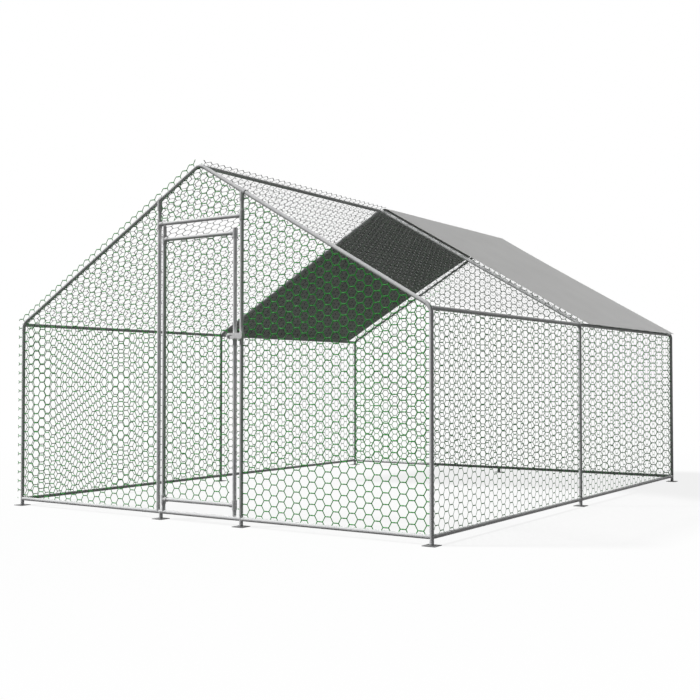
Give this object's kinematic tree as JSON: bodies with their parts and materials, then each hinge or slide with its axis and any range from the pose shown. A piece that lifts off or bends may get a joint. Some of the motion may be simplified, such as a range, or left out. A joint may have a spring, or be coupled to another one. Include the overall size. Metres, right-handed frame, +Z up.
{
  "type": "chicken run",
  "caption": "Walk-in poultry run with a gabled tube frame, hexagonal wire netting on all sides, a hinged door with a slide bolt and a tarpaulin over the rear bay.",
  "frame": {"origin": "on the ground, in the middle of the footprint", "axes": "+X across the run, to the right seen from the door; +Y from the door to the back; +Z up"},
  "size_m": [3.06, 3.908, 2.0579],
  "materials": {
    "galvanised_tube": "galvanised, satin",
    "galvanised_fitting": "galvanised, satin",
    "black_plastic": "moulded, matt",
    "green_netting": "green coated wire, satin",
    "wire_netting": "dark coated wire, satin",
    "tarpaulin_cloth": "woven coated cloth, matt"
  },
  "bodies": {
    "frame": {"post_front_left": "galvanised_tube", "post_front_right": "galvanised_tube", "post_mid_left": "galvanised_tube", "post_mid_right": "galvanised_tube", "post_back_left": "galvanised_tube", "post_back_right": "galvanised_tube", "rafter_front_left": "galvanised_tube", "rafter_front_right": "galvanised_tube", "rafter_mid_left": "galvanised_tube", "rafter_mid_right": "galvanised_tube", "rafter_back_left": "galvanised_tube", "rafter_back_right": "galvanised_tube", "ridge_tube_front": "galvanised_tube", "ridge_tube_back": "galvanised_tube", "eave_rail_left_front": "galvanised_tube", "eave_rail_left_back": "galvanised_tube", "eave_rail_right_front": "galvanised_tube", "eave_rail_right_back": "galvanised_tube", "base_rail_left_front": "galvanised_tube", "base_rail_left_back": "galvanised_tube", "base_rail_right_front": "galvanised_tube", "base_rail_right_back": "galvanised_tube", "base_rail_front_left": "galvanised_tube", "door_sill": "galvanised_tube", "base_rail_front_right": "galvanised_tube", "base_rail_back_left": "galvanised_tube", "base_rail_back_right": "galvanised_tube", "door_post_hinge": "galvanised_tube", "door_post_latch": "galvanised_tube", "door_lintel": "galvanised_tube", "eave_elbows_left": "galvanised_fitting", "eave_elbows_right": "galvanised_fitting", "ridge_elbows": "galvanised_fitting", "corner_feet": "galvanised_fitting", "mid_feet": "galvanised_fitting", "door_foot_hinge": "galvanised_fitting", "door_foot_latch": "galvanised_fitting", "back_foot": "galvanised_fitting", "rafter_tees": "galvanised_fitting", "lintel_tees": "galvanised_fitting", "hinge_pins": "galvanised_fitting", "latch_keeper": "galvanised_fitting", "back_net": "green_netting", "front_net_left": "green_netting", "front_net_right": "green_netting", "gable_net": "green_netting", "wall_net_left": "green_netting", "wall_net_right": "green_netting", "roof_net_left": "wire_netting", "roof_net_right": "wire_netting", "tarpaulin": "tarpaulin_cloth"},
    "door": {"door_hinge_stile": "galvanised_tube", "door_latch_stile": "galvanised_tube", "door_top_rail": "galvanised_tube", "door_bottom_rail": "galvanised_tube", "door_tees": "galvanised_fitting", "stile_caps": "black_plastic", "door_net": "green_netting", "latch_case": "galvanised_fitting"},
    "slide_bolt": {"latch_bolt": "galvanised_fitting"}
  },
  "joints": [
    {"name": "door_hinge", "type": "hinge", "parent": "frame", "child": "door", "pos_m": [-0.266, -1.918, 0.9], "axis": [0, 0, -1], "range_deg": [0, 110]},
    {"name": "bolt_slide", "type": "slide", "parent": "door", "child": "slide_bolt", "axis": [1, 0, 0], "range_m": [0, 0.03]}
  ]
}
